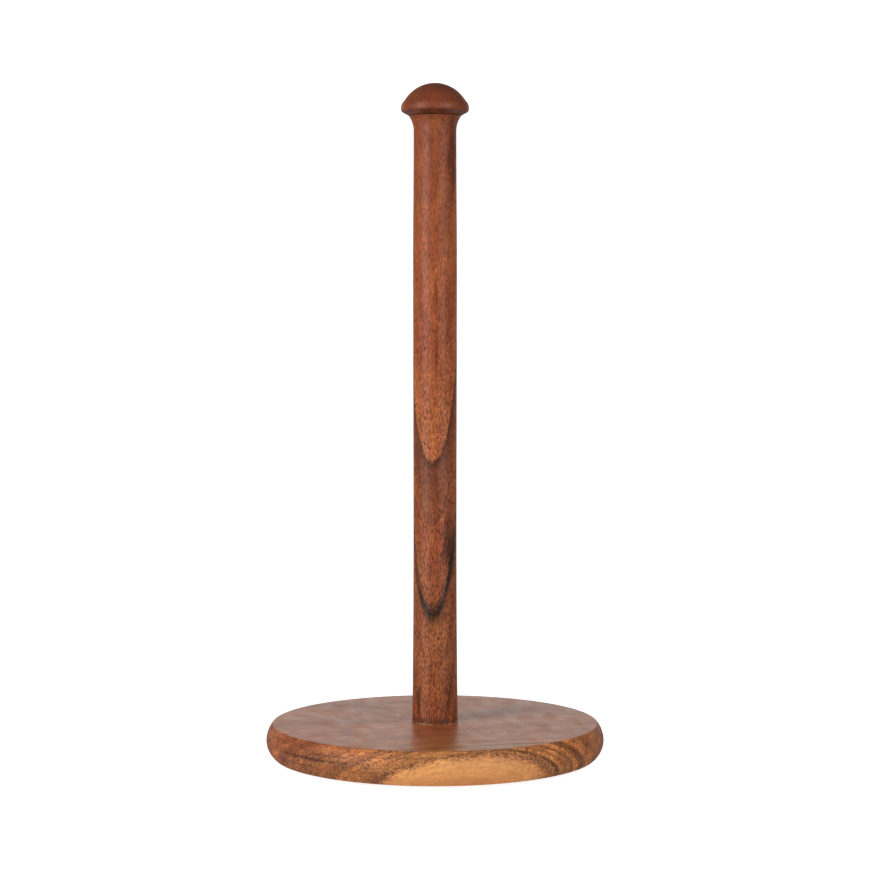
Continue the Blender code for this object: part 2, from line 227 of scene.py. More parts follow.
class Effects:
    """The shader node groups that several finishes share. Each is built once."""

    def __init__(self) -> None:
        """Build every group."""
        self.rings = self._build("wood_rings", self._rings, ("Wave", "Wave Length"), ("Distance", "Lines"))
        self.pores = self._build("wood_pores", self._pores, ("Length", "Width", "Cover"), ("Mask",))
        self.fibre = self._build("wood_fibre", self._fibre, (), ("Fine", "Streak", "Curl", "Grit"))
        self.layers = self._build("wood_layers", self._layers, ("Thickness",), ("Layers",))
        self.patches = self._build("uneven_finish", self._patches, ("Size",), ("Patches",))
        self.scuffs = self._build("scuffs", self._scuffs, ("Size",), ("Scuffs",))

    @staticmethod
    def _build(
        name: str,
        recipe: Callable[[Sheet, bpy.types.NodeOutputs], Sockets],
        inputs: tuple[str, ...],
        outputs: tuple[str, ...],
    ) -> bpy.types.NodeTree:
        """Make one group.

        Args:
            name: The group's name.
            recipe: The method that fills it, given the sheet and what the group is given.
            inputs: Names of its inputs beside Vector, all plain values.
            outputs: Names of its outputs, all plain values.

        Returns:
            The finished node tree.
        """
        tree = bpy.data.node_groups.new(name, "ShaderNodeTree")
        tree.interface.new_socket("Vector", in_out="INPUT", socket_type="NodeSocketVector")
        for title in inputs:
            tree.interface.new_socket(title, in_out="INPUT", socket_type="NodeSocketFloat")
        for title in outputs:
            tree.interface.new_socket(title, in_out="OUTPUT", socket_type="NodeSocketFloat")
        entry = tree.nodes.new("NodeGroupInput")
        leave = tree.nodes.new("NodeGroupOutput")
        for title, result in zip(outputs, recipe(Sheet(tree), entry.outputs)):
            tree.links.new(result, leave.inputs[title])
        return tree

    @staticmethod
    def place(sheet: Sheet, group: bpy.types.NodeTree, **values: Feed) -> bpy.types.NodeOutputs:
        """Place a group in a tree and return its outputs.

        Args:
            sheet: The tree that it goes into.
            group: The group's own tree.
            **values: What goes into its inputs, with underscores for the spaces in their names.

        Returns:
            The outputs of the placed group.
        """
        node = sheet.tree.nodes.new("ShaderNodeGroup")
        node.node_tree = group
        for name, value in values.items():
            sheet.feed(node.inputs[name.replace("_", " ")], value)
        return node.outputs

    @staticmethod
    def _scaled(sheet: Sheet, vector: Feed, along: Feed, across: Feed, height: Feed) -> Socket:
        """Return the vector with each axis divided by a length that may come from an input."""
        size = sheet.add("CombineXYZ", {"X": along, "Y": across, "Z": height})
        return sheet.vector("DIVIDE", vector, size.outputs["Vector"])

    @staticmethod
    def _rings(sheet: Sheet, given: bpy.types.NodeOutputs) -> Sockets:
        """Give the wavy distance from the pith, which runs along X, and fine lines that follow it."""
        reach = sheet.vector("DIVIDE", given["Vector"], given["Wave Length"])
        slow = sheet.vector("MULTIPLY", reach, (0.45, 1.0, 1.0))
        wobble = sheet.vector("SUBTRACT", sheet.noise(slow, detail=1.5).outputs["Color"], (0.5, 0.5, 0.5))
        push = sheet.vector("MULTIPLY", wobble, sheet.times(given["Wave"], 2.0))
        moved = sheet.vector("ADD", given["Vector"], push)
        distance = sheet.vector("LENGTH", sheet.vector("MULTIPLY", moved, (0.0, 1.0, 1.0)))
        feeds = {"W": sheet.times(distance, 0.55), "Scale": 1.0, "Detail": 3.0, "Roughness": 0.6}
        return distance, sheet.add("TexNoise", feeds, noise_dimensions="1D").outputs[0]

    @staticmethod
    def _pores(sheet: Sheet, given: bpy.types.NodeOutputs) -> Sockets:
        """Give long thin pores: dashes on long grain and dots on end grain."""
        cells = Effects._scaled(sheet, given["Vector"], given["Length"], given["Width"], given["Width"])
        voronoi = sheet.add("TexVoronoi", {"Vector": cells, "Scale": 1.0, "Randomness": 1.0},
                            voronoi_dimensions="3D", feature="F1")
        chance = sheet.add("SeparateColor", {"Color": voronoi.outputs["Color"]}).outputs[0]
        kept = sheet.math("LESS_THAN", chance, given["Cover"])
        core = sheet.smooth(voronoi.outputs["Distance"], 0.52, 0.26)
        return (sheet.times(core, kept),)

    @staticmethod
    def _fibre(sheet: Sheet, given: bpy.types.NodeOutputs) -> Sockets:
        """Give fine fibre, broad streaks along the grain, soft curl across it, and short gritty flecks."""
        fine = sheet.noise(sheet.stretch(given["Vector"], 14.0, 0.5, 0.5), detail=3.0, roughness=0.6)
        streak = sheet.noise(sheet.stretch(given["Vector"], 60.0, 3.6, 3.6), detail=3.0, roughness=0.6)
        curl = sheet.noise(sheet.stretch(given["Vector"], 7.0, 16.0, 16.0), detail=2.0)
        grit = sheet.noise(sheet.stretch(given["Vector"], 1.9, 0.62, 0.62), detail=2.0, roughness=0.6)
        return fine.outputs[0], streak.outputs[0], curl.outputs[0], sheet.smooth(grit.outputs[0], 0.25, 0.75)

    @staticmethod
    def _layers(sheet: Sheet, given: bpy.types.NodeOutputs) -> Sockets:
        """Give thin level layers, which show as streaks on an edge and as clouds on a face."""
        scaled = Effects._scaled(sheet, given["Vector"], 55.0, 40.0, given["Thickness"])
        return (sheet.smooth(sheet.noise(scaled, detail=3.0, roughness=0.6).outputs[0], 0.25, 0.75),)

    @staticmethod
    def _patches(sheet: Sheet, given: bpy.types.NodeOutputs) -> Sockets:
        """Give the soft patches where a finish has sunk in more or less."""
        scaled = Effects._scaled(sheet, given["Vector"], given["Size"], given["Size"], given["Size"])
        return (sheet.smooth(sheet.noise(scaled, detail=4.0, roughness=0.6).outputs[0], 0.30, 0.70),)

    @staticmethod
    def _scuffs(sheet: Sheet, given: bpy.types.NodeOutputs) -> Sockets:
        """Give fine crossed scratches, denser in some places than in others."""
        scaled = Effects._scaled(sheet, given["Vector"], given["Size"], given["Size"], given["Size"])
        feeds = {"Vector": scaled, "Scale": 6.0, "Detail": 5.0, "Roughness": 0.75, "Distortion": 1.5}
        bent = sheet.add("TexNoise", feeds, noise_dimensions="3D").outputs[0]
        return (sheet.smooth(bent, 0.45, 0.62),)


# --------------------------------------------------------------------------------------------------------
# Finishes
# --------------------------------------------------------------------------------------------------------


FULL_FACE = (0.80, 0.995)
FIGURE_LOSS = 0.45
ROUGH_SWING = 0.12
PORE_ROUGHNESS = 0.25
PORE_SINK = 0.6
FIBRE_RELIEF = 0.25
PATCH_RELIEF = 0.05
END_GRAIN = (0.45, 0.98)
STREAK_FRAY = 1.6
STREAK_EDGE = (0.35, 1.1)
LINE_BREAKS = (0.15, 0.60, 0.55, 1.0)
FADED_LINE = 0.15


@dataclass(frozen=True)
class RingStop:
    """One colour in the run of growth rings, and how strongly pores and flecks show in it."""

    distance_mm: float
    colour: Colour
    stipple: float = 1.0


@dataclass(frozen=True)
class RingLine:
    """A thin dark line between growth rings: where it is darkest, how far it fades each way, how dark."""

    distance_mm: float
    reach_mm: float
    depth: float


@dataclass(frozen=True)
class Streak:
    """A streak in the wood: where it is on the object, its size along X, Y and Z, and how dark.

    A depth below zero makes the streak paler than the wood round it. The knob's only streak is not in the
    wood but a band of painted shade under its brim.
    """

    centre_mm: tuple[float, float, float]
    size_mm: tuple[float, float, float]
    depth: float


@dataclass(frozen=True)
class WoodFinish:
    """Oiled acacia, cut at some angle from the tree. A depth is a share of the colour's value.

    Attributes:
        name: The material's name.
        along: Direction of the grain.
        bark: Direction in which the rings grow, square to the grain.
        pith_mm: Where the pith is, across the grain and along bark, from the object's origin.
        rings: Colours by distance from the pith.
        lines: Dark lines between the rings.
        line_fade_mm: Places along the grain between which those lines come up to full strength.
        wave_mm: How far the rings wander.
        wave_length_mm: The length of that wander.
        ragged_mm: How far the edge of a ring is frayed.
        twist_per_mm: Turn of the wood about the upright axis, in radians for each millimetre up.
        twist_height_mm: The height without that turn.
        line_depth: Depth of the fine lines that follow the rings.
        streak_depth: Depth of the broad streaks along the grain.
        fibre_depth: Depth of the fine fibre.
        curl_depth: Depth of the soft curl across the grain.
        grit_depth: Depth of the short flecks.
        patch_depth: Depth of the patches of finish.
        patch_mm: Width of a patch.
        layer_depth: Depth of the thin layers.
        layer_mm: Thickness of a layer.
        pore_depth: Depth of the pores.
        pore_length_mm: Length of a pore.
        pore_width_mm: Width of a pore.
        pore_cover: Share of the pores that show.
        streaks: Single streaks; the knob's one is a band of painted shade under its brim.
        filled: How far the finish has filled the pores on the flat face on the bark side.
        hue_swing: How far the hue swings.
        end_grain_value: How dark a face cut across the grain is.
        roughness: Roughness of open wood.
        filled_roughness: Roughness of the filled face.
        specular: Strength of the reflection.
    """

    name: str
    along: Vector
    bark: Vector
    pith_mm: tuple[float, float]
    rings: tuple[RingStop, ...]
    lines: tuple[RingLine, ...] = ()
    line_fade_mm: tuple[float, float] | None = None
    wave_mm: float = 1.5
    wave_length_mm: float = 60.0
    ragged_mm: float = 0.35
    twist_per_mm: float = 0.0
    twist_height_mm: float = 0.0
    line_depth: float = 0.16
    streak_depth: float = 0.20
    fibre_depth: float = 0.12
    curl_depth: float = 0.05
    grit_depth: float = 0.30
    patch_depth: float = 0.12
    patch_mm: float = 10.0
    layer_depth: float = 0.0
    layer_mm: float = 2.2
    pore_depth: float = 0.30
    pore_length_mm: float = 3.0
    pore_width_mm: float = 0.80
    pore_cover: float = 0.5
    streaks: tuple[Streak, ...] = ()
    filled: float = 0.0
    hue_swing: float = 0.03
    end_grain_value: float = 0.72
    roughness: float = 0.50
    filled_roughness: float = 0.38
    specular: float = 0.32

    def material(self, effects: Effects) -> bpy.types.Material:
        """Build the wood's material.

        Args:
            effects: The shared node groups.

        Returns:
            The material, with colour, roughness and bump from one wood field.
        """
        material, sheet, inputs = start_material(self.name)
        wood, grain = self._coordinates(sheet)
        waves = {"Wave": self.wave_mm, "Wave_Length": self.wave_length_mm}
        sizes = {"Length": self.pore_length_mm, "Width": self.pore_width_mm, "Cover": self.pore_cover}
        rings = effects.place(sheet, effects.rings, Vector=wood, **waves)
        fibre = effects.place(sheet, effects.fibre, Vector=grain)
        pores = effects.place(sheet, effects.pores, Vector=grain, **sizes)["Mask"]
        layers = effects.place(sheet, effects.layers, Vector=grain, Thickness=self.layer_mm)["Layers"]
        patches = effects.place(sheet, effects.patches, Vector=grain, Size=self.patch_mm)["Patches"]

        distance = sheet.swing(fibre["Grit"], self.ragged_mm, rings["Distance"])
        colour, stipple = self._ring_colour(sheet, distance)
        filling = self._filling(sheet)
        kept_open = sheet.times_add(filling, -self.filled, 1.0)
        clear = sheet.times_add(filling, -FIGURE_LOSS, 1.0)
        figure = sheet.math("MULTIPLY", stipple, clear, clamp=True)
        value = sheet.swing(rings["Lines"], self.line_depth)
        for part, depth in (
            (fibre["Streak"], self.streak_depth),
            (fibre["Fine"], self.fibre_depth),
            (fibre["Curl"], self.curl_depth),
            (layers, self.layer_depth),
            (patches, self.patch_depth),
        ):
            value = sheet.times(value, sheet.swing(part, depth))
        value = sheet.times_add(sheet.math("SUBTRACT", value, 1.0), figure, 1.0)

        flecks = sheet.swing(fibre["Grit"], self.grit_depth, 0.0)
        speck = sheet.times_add(pores, -self.pore_depth, flecks)
        stipple = sheet.times(stipple, kept_open)
        factors = [sheet.times_add(speck, stipple, 1.0), self._end_grain(sheet)]
        factors += self._ring_lines(sheet, distance, grain, patches)
        # Among these streaks is the knob's band of painted shade under its brim.
        factors += [self._streak(sheet, streak, fibre["Streak"]) for streak in self.streaks]
        for factor in factors:
            value = sheet.times(value, factor)
        hue = sheet.swing(fibre["Streak"], self.hue_swing, 0.5)
        shaded = sheet.add("HueSaturation", {"Hue": hue, "Value": value, "Color": colour})
        sheet.feed(inputs["Base Color"], shaded.outputs["Color"])

        sunk = sheet.math("POWER", kept_open, 2.0)
        gloss = self.filled_roughness - self.roughness
        rough = sheet.times_add(filling, gloss, self.roughness)
        rough = sheet.swing(fibre["Curl"], ROUGH_SWING, rough)
        sunk_pores = sheet.times(pores, sunk)
        rough = sheet.times_add(sunk_pores, PORE_ROUGHNESS, rough, clamp=True)
        sheet.feed(inputs["Roughness"], rough)
        inputs["IOR"].default_value = 1.5
        inputs["Specular IOR Level"].default_value = self.specular

        height = sheet.times(pores, -PORE_SINK)
        height = sheet.times_add(fibre["Fine"], FIBRE_RELIEF, height)
        height = sheet.times_add(patches, PATCH_RELIEF, height)
        height = sheet.times(height, sunk)
        sheet.feed(inputs["Normal"], sheet.bump(height, 0.5, 0.12 * MM))
        return material

    def _coordinates(self, sheet: Sheet) -> tuple[Socket, Socket]:
        """Return wood coordinates in millimetres: from the pith, and from the object's origin."""
        turn = Matrix((self.along, self.bark.cross(self.along), self.bark)).to_euler()
        place = sheet.add("TexCoord").outputs["Object"]
        if self.twist_per_mm:
            height = sheet.math("DIVIDE", sheet.add("SeparateXYZ", {"Vector": place}).outputs["Z"], MM)
            climb = sheet.math("SUBTRACT", height, self.twist_height_mm)
            feeds = {"Vector": place, "Angle": sheet.times(climb, -self.twist_per_mm)}
            place = sheet.add("VectorRotate", feeds, rotation_type="Z_AXIS").outputs[0]
        scale = (1.0 / MM, 1.0 / MM, 1.0 / MM)
        shift = (0.0, -self.pith_mm[0], -self.pith_mm[1])
        feeds = {"Vector": place, "Rotation": turn, "Scale": scale}
        from_pith = sheet.add("Mapping", {**feeds, "Location": shift})
        from_origin = sheet.add("Mapping", feeds)
        return from_pith.outputs["Vector"], from_origin.outputs["Vector"]

    def _ring_colour(self, sheet: Sheet, distance: Socket) -> Sockets:
        """Return the colour and the stipple for a distance from the pith."""
        first = self.rings[0].distance_mm
        span = self.rings[-1].distance_mm - first
        ramp = sheet.add("ValToRGB")
        sheet.feed(ramp.inputs["Fac"], sheet.math("DIVIDE", sheet.math("SUBTRACT", distance, first), span))
        stops = ramp.color_ramp.elements
        for element in list(stops)[1:]:
            stops.remove(element)
        stops[0].position = 0.0
        stops[0].color = (*self.rings[0].colour, self.rings[0].stipple)
        for ring in self.rings[1:]:
            stops.new((ring.distance_mm - first) / span).color = (*ring.colour, ring.stipple)
        return ramp.outputs["Color"], ramp.outputs["Alpha"]

    def _filling(self, sheet: Sheet) -> Feed:
        """Return where the finish has filled the pores: on the flat face that looks to the bark side."""
        if not self.filled:
            return 0.0
        normal = sheet.add("TexCoord").outputs["Normal"]
        facing = sheet.vector("DOT_PRODUCT", normal, tuple(self.bark))
        return sheet.smooth(facing, *FULL_FACE)

    def _ring_lines(self, sheet: Sheet, distance: Feed, grain: Feed, break_up: Feed) -> list[Socket]:
        """Return the factors that darken the lines between rings.

        Args:
            sheet: The material's node tree.
            distance: Distance from the pith.
            grain: Wood coordinates from the object's origin.
            break_up: A noise value that weakens the lines here and there.

        Returns:
            One factor for each line, 1 away from it.
        """
        strength = sheet.smooth(break_up, *LINE_BREAKS)
        if self.line_fade_mm:
            along = sheet.add("SeparateXYZ", {"Vector": grain}).outputs["X"]
            faded = sheet.smooth(along, *self.line_fade_mm, FADED_LINE, 1.0)
            strength = sheet.times(strength, faded)
        factors = []
        for line in self.lines:
            off = sheet.math("ABSOLUTE", sheet.math("SUBTRACT", distance, line.distance_mm))
            depth = sheet.times(sheet.smooth(off, 0.0, line.reach_mm, line.depth, 0.0), strength)
            factors.append(sheet.math("SUBTRACT", 1.0, depth))
        return factors

    def _streak(self, sheet: Sheet, streak: Streak, fray: Feed) -> Socket:
        """Return a factor that darkens one streak, or lightens it where its depth is below zero.

        Args:
            sheet: The material's node tree.
            streak: The streak to lay.
            fray: A noise value that frays the streak's outline.

        Returns:
            The factor, 1 away from the streak.
        """
        place = sheet.add("TexCoord").outputs["Object"]
        centre = tuple(part * MM for part in streak.centre_mm)
        away = sheet.vector("SUBTRACT", place, centre)
        half = sheet.stretch(away, *(part * MM / 2.0 for part in streak.size_mm))
        reach = sheet.vector("LENGTH", half)
        reach = sheet.swing(fray, STREAK_FRAY / 2.0, reach)
        return sheet.smooth(reach, *STREAK_EDGE, 1.0 - streak.depth, 1.0)

    def _end_grain(self, sheet: Sheet) -> Socket:
        """Return a factor that darkens faces cut across the grain, which drink more oil."""
        normal = sheet.add("TexCoord").outputs["Normal"]
        facing = sheet.vector("DOT_PRODUCT", normal, tuple(self.along))
        return sheet.smooth(sheet.math("ABSOLUTE", facing), *END_GRAIN, 1.0, self.end_grain_value)


@dataclass(frozen=True)
class MetalFinish:
    """Plated or bare metal with fine scuffs."""

    name: str
    colour: Colour
    dull_colour: Colour
    roughness: float

    def material(self, effects: Effects) -> bpy.types.Material:
        """Build the metal's material from the shared node groups."""
        material, sheet, inputs = start_material(self.name)
        place = sheet.millimetres()
        scuffs = effects.place(sheet, effects.scuffs, Vector=place, Size=3.0)["Scuffs"]
        patches = effects.place(sheet, effects.patches, Vector=place, Size=2.5)["Patches"]
        sheet.feed(inputs["Base Color"], sheet.mix(patches, self.colour, self.dull_colour))
        sheet.feed(inputs["Roughness"], sheet.times_add(scuffs, 0.14, self.roughness))
        inputs["Metallic"].default_value = 1.0
        sheet.feed(inputs["Normal"], sheet.bump(scuffs, 0.25, 0.02 * MM))
        return material


@dataclass(frozen=True)
class BeadFinish:
    """Oil and sawdust that have set in a corner: paler and glossier than the wood."""

    name: str
    dark: Colour
    light: Colour

    def material(self, effects: Effects) -> bpy.types.Material:
        """Build the bead's material from the shared node groups."""
        material, sheet, inputs = start_material(self.name)
        clots = effects.place(sheet, effects.patches, Vector=sheet.millimetres(), Size=2.6)["Patches"]
        share = sheet.smooth(clots, 0.35, 0.65)
        sheet.feed(inputs["Base Color"], sheet.mix(share, self.dark, self.light))
        sheet.feed(inputs["Roughness"], sheet.times_add(share, 0.2, 0.28))
        sheet.feed(inputs["Normal"], sheet.bump(clots, 0.6, 0.1 * MM))
        return material


@dataclass(frozen=True)
class FeltFinish:
    """Pressed felt: a matted pile of short fibres."""

    name: str
    dark: Colour
    light: Colour

    def material(self, effects: Effects) -> bpy.types.Material:
        """Build the felt's material from the shared node groups."""
        material, sheet, inputs = start_material(self.name)
        place = sheet.millimetres()
        matting = effects.place(sheet, effects.scuffs, Vector=place, Size=1.6)["Scuffs"]
        clumps = effects.place(sheet, effects.patches, Vector=place, Size=1.1)["Patches"]
        sheet.feed(inputs["Base Color"], sheet.mix(clumps, self.dark, self.light))
        sheet.feed(inputs["Roughness"], sheet.times_add(clumps, 0.1, 0.88))
        inputs["Sheen Weight"].default_value = 0.4
        sheet.feed(inputs["Normal"], sheet.bump(matting, 0.8, 0.15 * MM))
        return material


GRAIN_SWING = math.radians(11.5)
POST_TILT = math.radians(9.5)
POST_FACING = math.radians(-7.0)


def post_direction(tilt: float, facing: float) -> tuple[Vector, Vector]:
    """Return the grain and bark directions of a post whose grain leans back from the front.

    Args:
        tilt: Angle between the grain and the post's axis.
        facing: Turn of the bark side from the front, positive towards +X.

    Returns:
        The unit vectors along the grain and towards the bark.
    """
    turn = Matrix.Rotation(facing, 3, "Z")
    along = turn @ Vector((0.0, math.sin(tilt), math.cos(tilt)))
    bark = turn @ Vector((0.0, -math.cos(tilt), math.sin(tilt)))
    return along, bark


BASE_WOOD = WoodFinish(
    name="acacia_base",
    along=Vector((math.cos(GRAIN_SWING), math.sin(GRAIN_SWING), 0.0)),
    bark=Vector((0.0, 0.0, 1.0)),
    pith_mm=(30.0, 102.0),
    rings=(
        RingStop(82.0, tone(182, 104, 62)),
        RingStop(88.0, tone(164, 91, 54)),
        RingStop(93.0, tone(186, 108, 64)),
        RingStop(99.0, tone(164, 89, 52)),
        RingStop(104.0, tone(180, 102, 60)),
        RingStop(109.0, tone(162, 89, 52)),
        RingStop(115.0, tone(182, 108, 62), 1.05),
        RingStop(121.0, tone(168, 99, 56), 1.05),
        RingStop(126.0, tone(184, 112, 62), 1.05),
        RingStop(130.0, tone(166, 100, 54), 1.1),
        RingStop(134.5, tone(184, 116, 64), 0.9),
        RingStop(138.0, tone(188, 120, 66), 0.9),
        RingStop(139.2, tone(152, 96, 56), 1.1),
        RingStop(140.5, tone(166, 106, 62), 1.0),
        RingStop(141.6, tone(214, 146, 88), 0.45),
        RingStop(143.5, tone(224, 157, 95), 0.22),
        RingStop(150.0, tone(216, 145, 85), 0.22),
    ),
    lines=(
        RingLine(137.7, 1.1, 0.80),
        RingLine(135.4, 0.7, 0.55),
        RingLine(133.0, 0.6, 0.40),
        RingLine(129.0, 1.7, 0.62),
        RingLine(122.0, 1.0, 0.30),
    ),
    line_fade_mm=(-20.0, 25.0),
    wave_mm=1.2,
    wave_length_mm=40.0,
    ragged_mm=0.38,
    twist_per_mm=math.radians(0.25),
    twist_height_mm=5.5,
    layer_depth=0.20,
    line_depth=0.60,
    curl_depth=0.30,
    streak_depth=0.30,
    grit_depth=0.58,
    patch_depth=0.26,
    patch_mm=9.0,
    filled=0.75,
    streaks=(
        Streak((-56.0, -58.0, 10.6), (56.0, 46.0, 1.7), 0.62),
        Streak((-48.0, -66.0, 13.2), (50.0, 30.0, 1.0), 0.40),
        Streak((-66.0, -46.0, 6.8), (50.0, 40.0, 1.2), 0.40),
        Streak((34.0, 26.0, 18.0), (26.0, 13.0, 8.0), 0.30),
        Streak((-42.0, -30.0, 18.0), (12.0, 30.0, 8.0), 0.28),
        Streak((40.0, 0.0, 18.0), (12.0, 34.0, 8.0), 0.20),
        Streak((-38.0, -74.0, 4.0), (36.0, 20.0, 12.0), 0.12),
        Streak((-82.0, -22.0, 8.0), (10.0, 60.0, 18.0), 0.22),
        Streak((58.0, -58.0, 8.0), (62.0, 62.0, 30.0), -0.14),
    ),
    hue_swing=0.015,
    roughness=0.55,
    filled_roughness=0.37,
    specular=0.36,
)

POST_ALONG, POST_BARK = post_direction(POST_TILT, POST_FACING)
POST_WOOD = WoodFinish(
    name="acacia_post",
    along=POST_ALONG,
    bark=POST_BARK,
    pith_mm=(0.0, -70.0),
    rings=(
        RingStop(58.0, tone(132, 70, 40)),
        RingStop(66.0, tone(110, 56, 32)),
        RingStop(74.0, tone(136, 71, 39)),
        RingStop(84.0, tone(146, 79, 43), 1.3),
        RingStop(91.2, tone(150, 83, 46), 1.5),
        RingStop(93.0, tone(138, 73, 40), 1.4),
        RingStop(98.8, tone(150, 78, 41), 1.5),
        RingStop(100.0, tone(136, 71, 39), 1.2),
        RingStop(102.0, tone(120, 62, 37)),
        RingStop(104.1, tone(112, 58, 36)),
        RingStop(104.8, tone(164, 92, 50), 1.5),
        RingStop(109.0, tone(156, 82, 44), 1.3),
        RingStop(114.0, tone(146, 74, 40), 1.0),
        RingStop(119.0, tone(154, 80, 43), 0.9),
        RingStop(128.0, tone(138, 69, 37), 0.8),
        RingStop(136.0, tone(122, 61, 34), 0.8),
    ),
    lines=(
        RingLine(92.1, 1.35, 0.94),
        RingLine(99.4, 0.50, 0.50),
        RingLine(104.2, 0.65, 0.62),
        RingLine(83.2, 0.70, 0.60),
    ),
    wave_mm=0.8,
    wave_length_mm=32.0,
    ragged_mm=0.25,
    line_depth=0.25,
    streak_depth=0.40,
    grit_depth=0.45,
    patch_depth=0.13,
    curl_depth=0.14,
    pore_depth=0.22,
    streaks=(
        Streak((9.5, -6.0, 293.0), (9.0, 14.0, 52.0), 0.50),
        Streak((10.0, -7.6, 103.0), (15.0, 13.0, 46.0), 0.68),
        Streak((-7.6, -7.6, 32.0), (4.0, 4.0, 20.0), 0.55),
        # A darker band round the whole foot of the post, just above the base.
        Streak((0.0, -6.0, 19.0), (40.0, 30.0, 6.0), 0.42),
        Streak((0.5, -10.5, 227.0), (2.2, 4.0, 22.0), 0.35),
        Streak((0.8, -10.5, 202.0), (2.4, 4.0, 18.0), 0.35),
        Streak((0.5, -10.5, 280.0), (3.0, 4.0, 22.0), 0.25),
    ),
    hue_swing=0.02,
    roughness=0.43,
    specular=0.27,
)

KNOB_WOOD = WoodFinish(
    name="acacia_knob",
    along=Vector((0.0, 0.0, 1.0)),
    bark=Vector((0.0, -1.0, 0.0)),
    pith_mm=(6.0, -60.0),
    rings=(
        RingStop(40.0, tone(120, 59, 34)),
        RingStop(50.0, tone(130, 64, 37)),
        RingStop(58.0, tone(118, 57, 33)),
        RingStop(66.0, tone(132, 66, 38)),
        RingStop(72.0, tone(124, 61, 35)),
        RingStop(80.0, tone(136, 69, 39)),
    ),
    wave_mm=1.0,
    wave_length_mm=30.0,
    line_depth=0.08,
    streak_depth=0.10,
    grit_depth=0.15,
    pore_cover=0.2,
    # Painted shade under the brim: a band 4.8 mm tall round the whole knob, over the brim's underside and
    # the cove, darkened by half.
    streaks=(Streak((0.0, 0.0, 314.3), (44.0, 44.0, 4.8), 0.50),),
    hue_swing=0.01,
    end_grain_value=0.78,
    roughness=0.46,
    specular=0.30,
)

ZINC = MetalFinish("bright_zinc", (0.62, 0.63, 0.64), (0.50, 0.51, 0.53), 0.26)
BRASS = MetalFinish("machined_brass", (0.72, 0.53, 0.24), (0.60, 0.42, 0.19), 0.28)
BEAD = BeadFinish("set_oil", tone(104, 60, 40), tone(158, 112, 82))
FELT = FeltFinish("black_felt", (0.020, 0.018, 0.017), (0.055, 0.052, 0.050))


# --------------------------------------------------------------------------------------------------------
# Turning
# --------------------------------------------------------------------------------------------------------


class Lathe:
    """Draws a half outline with bmesh operators, then turns it about the upright axis."""

    def __init__(self, radius: float, height: float) -> None:
        """Start the outline at a radius and height."""
        self.shape = bmesh.new()
        self.start = self.shape.verts.new((radius, 0.0, height))
        self.tip = self.start

    def line(self, radius: float, height: float, rings: int = 0) -> "Lathe":
        """Draw a straight stretch.

        Args:
            radius: Radius at its end.
            height: Height at its end.
            rings: How many rings to put along it.

        Returns:
            The lathe, so that calls can follow each other.
        """
        grown = bmesh.ops.extrude_vert_indiv(self.shape, verts=[self.tip])
        self.tip = grown["verts"][0]
        self.tip.co = Vector((radius, 0.0, height))
        if rings:
            end = len(self.shape.verts) - 1
            bmesh.ops.subdivide_edges(self.shape, edges=grown["edges"], cuts=rings)
            self.shape.verts.ensure_lookup_table()
            self.start, self.tip = self.shape.verts[0], self.shape.verts[end]
        return self

    def arc(self, centre: tuple[float, float], degrees: float, segments: int) -> "Lathe":
        """Draw a round stretch.

        Args:
            centre: Radius and height of the arc's centre.
            degrees: Angle swept, positive from up towards outwards.
            segments: How many straight pieces it is made of.

        Returns:
            The lathe, so that calls can follow each other.
        """
        swung = bmesh.ops.spin(
            self.shape,
            geom=[self.tip],
            cent=(centre[0], 0.0, centre[1]),
            axis=(0.0, 1.0, 0.0),
            angle=math.radians(degrees),
            steps=segments,
            use_duplicate=False,
        )
        self.tip = next(item for item in swung["geom_last"] if isinstance(item, bmesh.types.BMVert))
        return self

    def turn(self, steps: Steps, closed: bool = False) -> bmesh.types.BMesh:
        """Turn the outline through a full circle.

        Args:
            steps: Facets round the axis.
            closed: Join the outline's end to its start, for a piece with a bore right through.

        Returns:
            The closed shape, its faces pointing out.
        """
        if closed:
            self.shape.edges.new((self.tip, self.start))
        bmesh.ops.spin(
            self.shape,
            geom=self.shape.verts[:] + self.shape.edges[:],
            cent=(0.0, 0.0, 0.0),
            axis=(0.0, 0.0, 1.0),
            angle=math.tau,
            steps=steps.value,
            use_merge=True,
            use_duplicate=False,
        )
        bmesh.ops.remove_doubles(self.shape, verts=self.shape.verts[:], dist=WELD)
        bmesh.ops.dissolve_degenerate(self.shape, edges=self.shape.edges[:], dist=WELD)
        bmesh.ops.recalc_face_normals(self.shape, faces=self.shape.faces[:])
        return self.shape


def store_mesh(name: str, shape: bmesh.types.BMesh) -> bpy.types.Mesh:
    """Return a shape as a mesh. The shape is used up."""
    mesh = bpy.data.meshes.new(name)
    shape.to_mesh(mesh)
    shape.free()
    return mesh


def add_object(name: str, data: bpy.types.ID) -> bpy.types.Object:
    """Put a mesh, a lamp or a camera into the scene and return its object."""
    item = bpy.data.objects.new(name, data)
    bpy.context.scene.collection.objects.link(item)
    return item


def shade(mesh: bpy.types.Mesh, sharp_degrees: float) -> None:
    """Shade a mesh smooth, except over edges bent further than an angle."""
    mesh.shade_smooth()
    mesh.set_sharp_from_angle(angle=math.radians(sharp_degrees))


class Piece:
    """What every finished piece needs: an object from a shape, its material, body and replaced nodes."""

    @staticmethod
    def finish(
        name: str,
        shape: bmesh.types.BMesh,
        material: bpy.types.Material,
        slot: Slot,
        nodes: tuple[str, ...],
        sharp_degrees: float = SHARP_DEGREES,
    ) -> bpy.types.Object:
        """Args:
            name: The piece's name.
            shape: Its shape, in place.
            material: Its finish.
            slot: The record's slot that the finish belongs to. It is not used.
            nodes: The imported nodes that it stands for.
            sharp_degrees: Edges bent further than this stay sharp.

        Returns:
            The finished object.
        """
        mesh = store_mesh(name, shape)
        shade(mesh, sharp_degrees)
        mesh.materials.append(material)
        piece = add_object(name, mesh)
        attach(piece, BODY)
        if nodes:
            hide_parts(*nodes)
        log.info("%s: %d faces", name, len(mesh.polygons))
        return piece


